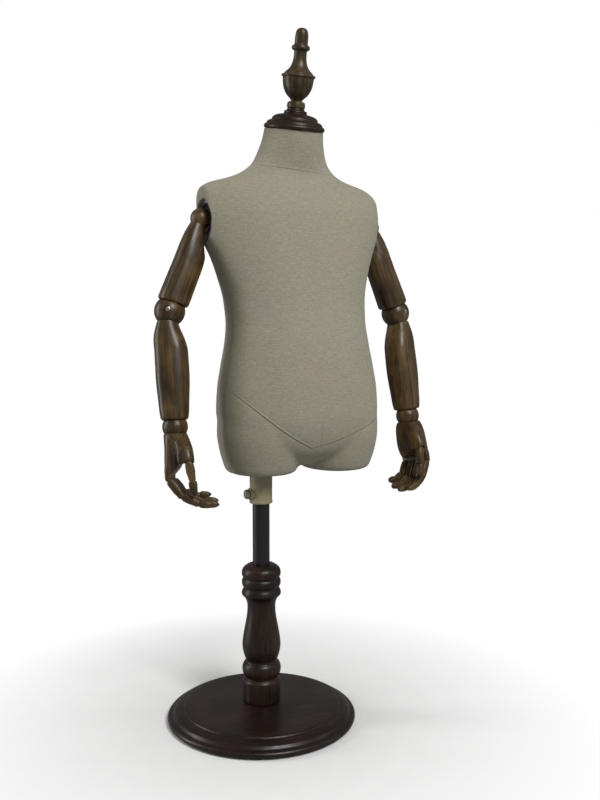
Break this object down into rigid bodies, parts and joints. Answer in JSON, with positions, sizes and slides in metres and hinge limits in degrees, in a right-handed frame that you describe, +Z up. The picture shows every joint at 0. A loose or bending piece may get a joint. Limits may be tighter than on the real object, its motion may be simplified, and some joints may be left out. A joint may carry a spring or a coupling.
{
  "type": "dress form",
  "caption": "Child-size linen-covered dress form with a finial, jointed wooden arms and hands, standing on a pole through one thigh on a turned wooden base.",
  "frame": {"origin": "centre of the underside of the base, on the axis of the pole", "axes": "+Z up along the pole; the figure faces -Y and its right side is towards -X, with the pole under its right thigh"},
  "size_m": [0.4306, 0.278, 1.0044],
  "materials": {
    "linen": "matte",
    "foam_core": "matte",
    "dark_wood": "satin",
    "arm_wood": "satin",
    "finial_wood": "satin",
    "black_steel": "satin",
    "bright_steel": "satin",
    "cream_plastic": "satin",
    "grey_board": "matte",
    "felt": "matte"
  },
  "bodies": {
    "stand": {"base_disc": "dark_wood", "base_felt": "felt", "base_bolt": "bright_steel", "column": "dark_wood"},
    "pole": {"pole": "black_steel"},
    "torso": {"sleeve": "cream_plastic", "torso_core": "foam_core", "linen_cover": "linen", "right_armhole_plate": "grey_board", "left_armhole_plate": "grey_board", "right_shoulder_cup": "black_steel", "left_shoulder_cup": "black_steel", "neck_cap": "dark_wood", "finial": "finial_wood"},
    "clamp_screw": {"clamp_screw": "cream_plastic"},
    "right_shoulder_ball": {"right_shoulder_ball": "arm_wood"},
    "right_upper_arm": {"right_upper_arm": "arm_wood"},
    "right_elbow_ball": {"right_elbow_ball": "arm_wood", "right_elbow_screw": "bright_steel"},
    "right_forearm": {"right_forearm": "arm_wood"},
    "right_wrist_ball": {"right_wrist_ball": "arm_wood"},
    "right_palm": {"right_palm": "arm_wood"},
    "right_index_proximal": {"right_index_proximal": "arm_wood"},
    "right_index_middle": {"right_index_middle": "arm_wood"},
    "right_index_distal": {"right_index_distal": "arm_wood"},
    "right_middle_proximal": {"right_middle_proximal": "arm_wood"},
    "right_middle_middle": {"right_middle_middle": "arm_wood"},
    "right_middle_distal": {"right_middle_distal": "arm_wood"},
    "right_ring_proximal": {"right_ring_proximal": "arm_wood"},
    "right_ring_middle": {"right_ring_middle": "arm_wood"},
    "right_ring_distal": {"right_ring_distal": "arm_wood"},
    "right_little_proximal": {"right_little_proximal": "arm_wood"},
    "right_little_middle": {"right_little_middle": "arm_wood"},
    "right_little_distal": {"right_little_distal": "arm_wood"},
    "right_thumb_proximal": {"right_thumb_proximal": "arm_wood"},
    "right_thumb_distal": {"right_thumb_distal": "arm_wood"},
    "left_shoulder_ball": {"left_shoulder_ball": "arm_wood"},
    "left_upper_arm": {"left_upper_arm": "arm_wood"},
    "left_elbow_ball": {"left_elbow_ball": "arm_wood", "left_elbow_screw": "bright_steel"},
    "left_forearm": {"left_forearm": "arm_wood"},
    "left_wrist_ball": {"left_wrist_ball": "arm_wood"},
    "left_palm": {"left_palm": "arm_wood"},
    "left_index_proximal": {"left_index_proximal": "arm_wood"},
    "left_index_middle": {"left_index_middle": "arm_wood"},
    "left_index_distal": {"left_index_distal": "arm_wood"},
    "left_middle_proximal": {"left_middle_proximal": "arm_wood"},
    "left_middle_middle": {"left_middle_middle": "arm_wood"},
    "left_middle_distal": {"left_middle_distal": "arm_wood"},
    "left_ring_proximal": {"left_ring_proximal": "arm_wood"},
    "left_ring_middle": {"left_ring_middle": "arm_wood"},
    "left_ring_distal": {"left_ring_distal": "arm_wood"},
    "left_little_proximal": {"left_little_proximal": "arm_wood"},
    "left_little_middle": {"left_little_middle": "arm_wood"},
    "left_little_distal": {"left_little_distal": "arm_wood"},
    "left_thumb_proximal": {"left_thumb_proximal": "arm_wood"},
    "left_thumb_distal": {"left_thumb_distal": "arm_wood"}
  },
  "joints": [
    {"name": "pole_turn", "type": "hinge", "parent": "stand", "child": "pole", "pos_m": [0, 0, 0.2], "axis": [0, 0, 1], "continuous": true},
    {"name": "torso_height", "type": "slide", "parent": "pole", "child": "torso", "axis": [0, 0, 1], "range_m": [-0.085, 0.14]},
    {"name": "clamp_screw_turn", "type": "hinge", "parent": "torso", "child": "clamp_screw", "pos_m": [-0.02, 0, 0.338], "axis": [-1, 0, 0], "continuous": true},
    {"name": "right_shoulder_swing", "type": "hinge", "parent": "torso", "child": "right_shoulder_ball", "pos_m": [-0.0775, 0.033, 0.735], "axis": [-1, 0, 0], "range_deg": [-60, 86]},
    {"name": "right_shoulder_lift", "type": "hinge", "parent": "right_shoulder_ball", "child": "right_upper_arm", "pos_m": [-0.0775, 0.033, 0.735], "axis": [0, 1, 0], "range_deg": [-1, 75]},
    {"name": "right_elbow_twist", "type": "hinge", "parent": "right_upper_arm", "child": "right_elbow_ball", "pos_m": [-0.1255, 0.032, 0.603], "axis": [0.3417, 0.0071, 0.9398], "range_deg": [-85, 14]},
    {"name": "right_elbow_bend", "type": "hinge", "parent": "right_elbow_ball", "child": "right_forearm", "pos_m": [-0.1255, 0.032, 0.603], "axis": [-0.4173, -0.8948, 0.1585], "range_deg": [-21, 13]},
    {"name": "right_wrist_twist", "type": "hinge", "parent": "right_forearm", "child": "right_wrist_ball", "pos_m": [-0.12781, 0.00444, 0.44135], "axis": [-0.0141, -0.168, -0.9857], "range_deg": [-75, 75]},
    {"name": "right_wrist_bend", "type": "hinge", "parent": "right_wrist_ball", "child": "right_palm", "pos_m": [-0.12781, 0.00444, 0.44135], "axis": [-0.4173, -0.8948, 0.1585], "range_deg": [-45, 15]},
    {"name": "right_index_proximal_bend", "type": "hinge", "parent": "right_palm", "child": "right_index_proximal", "pos_m": [-0.14554, -0.01981, 0.3732], "axis": [-0.4173, -0.8948, 0.1585], "range_deg": [-34, 12]},
    {"name": "right_index_middle_bend", "type": "hinge", "parent": "right_index_proximal", "child": "right_index_middle", "pos_m": [-0.13109, -0.0306, 0.35035], "axis": [-0.4173, -0.8948, 0.1585], "range_deg": [-27, 24]},
    {"name": "right_index_distal_bend", "type": "hinge", "parent": "right_index_middle", "child": "right_index_distal", "pos_m": [-0.11199, -0.04134, 0.33999], "axis": [-0.4173, -0.8948, 0.1585], "range_deg": [-18, 14]},
    {"name": "right_middle_proximal_bend", "type": "hinge", "parent": "right_palm", "child": "right_middle_proximal", "pos_m": [-0.14045, -0.0089, 0.37126], "axis": [-0.4173, -0.8948, 0.1585], "range_deg": [-35.5, 30]},
    {"name": "right_middle_middle_bend", "type": "hinge", "parent": "right_middle_proximal", "child": "right_middle_middle", "pos_m": [-0.12419, -0.02077, 0.34704], "axis": [-0.4173, -0.8948, 0.1585], "range_deg": [-28.5, 35]},
    {"name": "right_middle_distal_bend", "type": "hinge", "parent": "right_middle_middle", "child": "right_middle_distal", "pos_m": [-0.10291, -0.03246, 0.33705], "axis": [-0.4173, -0.8948, 0.1585], "range_deg": [-19.5, 50]},
    {"name": "right_ring_proximal_bend", "type": "hinge", "parent": "right_palm", "child": "right_ring_proximal", "pos_m": [-0.13536, 0.00202, 0.36933], "axis": [-0.4173, -0.8948, 0.1585], "range_deg": [-37, 30]},
    {"name": "right_ring_middle_bend", "type": "hinge", "parent": "right_ring_proximal", "child": "right_ring_middle", "pos_m": [-0.11929, -0.00947, 0.34675], "axis": [-0.4173, -0.8948, 0.1585], "range_deg": [-30, 35]},
    {"name": "right_ring_distal_bend", "type": "hinge", "parent": "right_ring_middle", "child": "right_ring_distal", "pos_m": [-0.09852, -0.02063, 0.33845], "axis": [-0.4173, -0.8948, 0.1585], "range_deg": [-21, 50]},
    {"name": "right_little_proximal_bend", "type": "hinge", "parent": "right_palm", "child": "right_little_proximal", "pos_m": [-0.13027, 0.01294, 0.3674], "axis": [-0.4173, -0.8948, 0.1585], "range_deg": [-38.5, 30]},
    {"name": "right_little_middle_bend", "type": "hinge", "parent": "right_little_proximal", "child": "right_little_middle", "pos_m": [-0.11663, 0.00337, 0.3493], "axis": [-0.4173, -0.8948, 0.1585], "range_deg": [-31.5, 35]},
    {"name": "right_little_distal_bend", "type": "hinge", "parent": "right_little_middle", "child": "right_little_distal", "pos_m": [-0.09922, -0.00577, 0.3435], "axis": [-0.4173, -0.8948, 0.1585], "range_deg": [-22.5, 50]},
    {"name": "right_thumb_proximal_bend", "type": "hinge", "parent": "right_palm", "child": "right_thumb_proximal", "pos_m": [-0.12153, -0.03873, 0.39333], "axis": [-0.4173, -0.8948, 0.1585], "range_deg": [-25, 20]},
    {"name": "right_thumb_distal_bend", "type": "hinge", "parent": "right_thumb_proximal", "child": "right_thumb_distal", "pos_m": [-0.11909, -0.04311, 0.375], "axis": [-0.4173, -0.8948, 0.1585], "range_deg": [-1, 45]},
    {"name": "left_shoulder_swing", "type": "hinge", "parent": "torso", "child": "left_shoulder_ball", "pos_m": [0.1975, 0.033, 0.735], "axis": [-1, 0, 0], "range_deg": [-60, 86]},
    {"name": "left_shoulder_lift", "type": "hinge", "parent": "left_shoulder_ball", "child": "left_upper_arm", "pos_m": [0.1975, 0.033, 0.735], "axis": [0, -1, 0], "range_deg": [-1, 75]},
    {"name": "left_elbow_twist", "type": "hinge", "parent": "left_upper_arm", "child": "left_elbow_ball", "pos_m": [0.2455, 0.032, 0.603], "axis": [0.3417, -0.0071, -0.9398], "range_deg": [-85, 14]},
    {"name": "left_elbow_bend", "type": "hinge", "parent": "left_elbow_ball", "child": "left_forearm", "pos_m": [0.2455, 0.032, 0.603], "axis": [-0.4324, 0.8866, -0.164], "range_deg": [-19, 15]},
    {"name": "left_wrist_twist", "type": "hinge", "parent": "left_forearm", "child": "left_wrist_ball", "pos_m": [0.25394, 0.00621, 0.44126], "axis": [0.0515, -0.1573, -0.9862], "range_deg": [-75, 75]},
    {"name": "left_wrist_bend", "type": "hinge", "parent": "left_wrist_ball", "child": "left_palm", "pos_m": [0.25394, 0.00621, 0.44126], "axis": [-0.4169, 0.894, -0.1643], "range_deg": [-45, 15]},
    {"name": "left_index_proximal_bend", "type": "hinge", "parent": "left_palm", "child": "left_index_proximal", "pos_m": [0.27432, -0.0172, 0.37356], "axis": [-0.4169, 0.894, -0.1643], "range_deg": [-34, 12]},
    {"name": "left_index_middle_bend", "type": "hinge", "parent": "left_index_proximal", "child": "left_index_middle", "pos_m": [0.2608, -0.02783, 0.35008], "axis": [-0.4169, 0.894, -0.1643], "range_deg": [-27, 24]},
    {"name": "left_index_distal_bend", "type": "hinge", "parent": "left_index_middle", "child": "left_index_distal", "pos_m": [0.24216, -0.03857, 0.33891], "axis": [-0.4169, 0.894, -0.1643], "range_deg": [-18, 14]},
    {"name": "left_middle_proximal_bend", "type": "hinge", "parent": "left_palm", "child": "left_middle_proximal", "pos_m": [0.26924, -0.0063, 0.37155], "axis": [-0.4169, 0.894, -0.1643], "range_deg": [-35.5, 30]},
    {"name": "left_middle_middle_bend", "type": "hinge", "parent": "left_middle_proximal", "child": "left_middle_middle", "pos_m": [0.25396, -0.01801, 0.34662], "axis": [-0.4169, 0.894, -0.1643], "range_deg": [-28.5, 35]},
    {"name": "left_middle_distal_bend", "type": "hinge", "parent": "left_middle_middle", "child": "left_middle_distal", "pos_m": [0.23314, -0.02971, 0.33573], "axis": [-0.4169, 0.894, -0.1643], "range_deg": [-19.5, 50]},
    {"name": "left_ring_proximal_bend", "type": "hinge", "parent": "left_palm", "child": "left_ring_proximal", "pos_m": [0.26415, 0.00461, 0.36955], "axis": [-0.4169, 0.894, -0.1643], "range_deg": [-37, 30]},
    {"name": "left_ring_middle_bend", "type": "hinge", "parent": "left_ring_proximal", "child": "left_ring_middle", "pos_m": [0.249, -0.00673, 0.34627], "axis": [-0.4169, 0.894, -0.1643], "range_deg": [-30, 35]},
    {"name": "left_ring_distal_bend", "type": "hinge", "parent": "left_ring_middle", "child": "left_ring_distal", "pos_m": [0.22862, -0.01793, 0.33709], "axis": [-0.4169, 0.894, -0.1643], "range_deg": [-21, 50]},
    {"name": "left_little_proximal_bend", "type": "hinge", "parent": "left_palm", "child": "left_little_proximal", "pos_m": [0.25907, 0.01552, 0.36754], "axis": [-0.4169, 0.894, -0.1643], "range_deg": [-38.5, 30]},
    {"name": "left_little_middle_bend", "type": "hinge", "parent": "left_little_proximal", "child": "left_little_middle", "pos_m": [0.24616, 0.00606, 0.34886], "axis": [-0.4169, 0.894, -0.1643], "range_deg": [-31.5, 35]},
    {"name": "left_little_distal_bend", "type": "hinge", "parent": "left_little_middle", "child": "left_little_distal", "pos_m": [0.22904, -0.00312, 0.34232], "axis": [-0.4169, 0.894, -0.1643], "range_deg": [-22.5, 50]},
    {"name": "left_thumb_proximal_bend", "type": "hinge", "parent": "left_palm", "child": "left_thumb_proximal", "pos_m": [0.24971, -0.03648, 0.39259], "axis": [-0.4169, 0.894, -0.1643], "range_deg": [-25, 20]},
    {"name": "left_thumb_distal_bend", "type": "hinge", "parent": "left_thumb_proximal", "child": "left_thumb_distal", "pos_m": [0.24798, -0.04068, 0.37414], "axis": [-0.4169, 0.894, -0.1643], "range_deg": [-1, 45]}
  ]
}
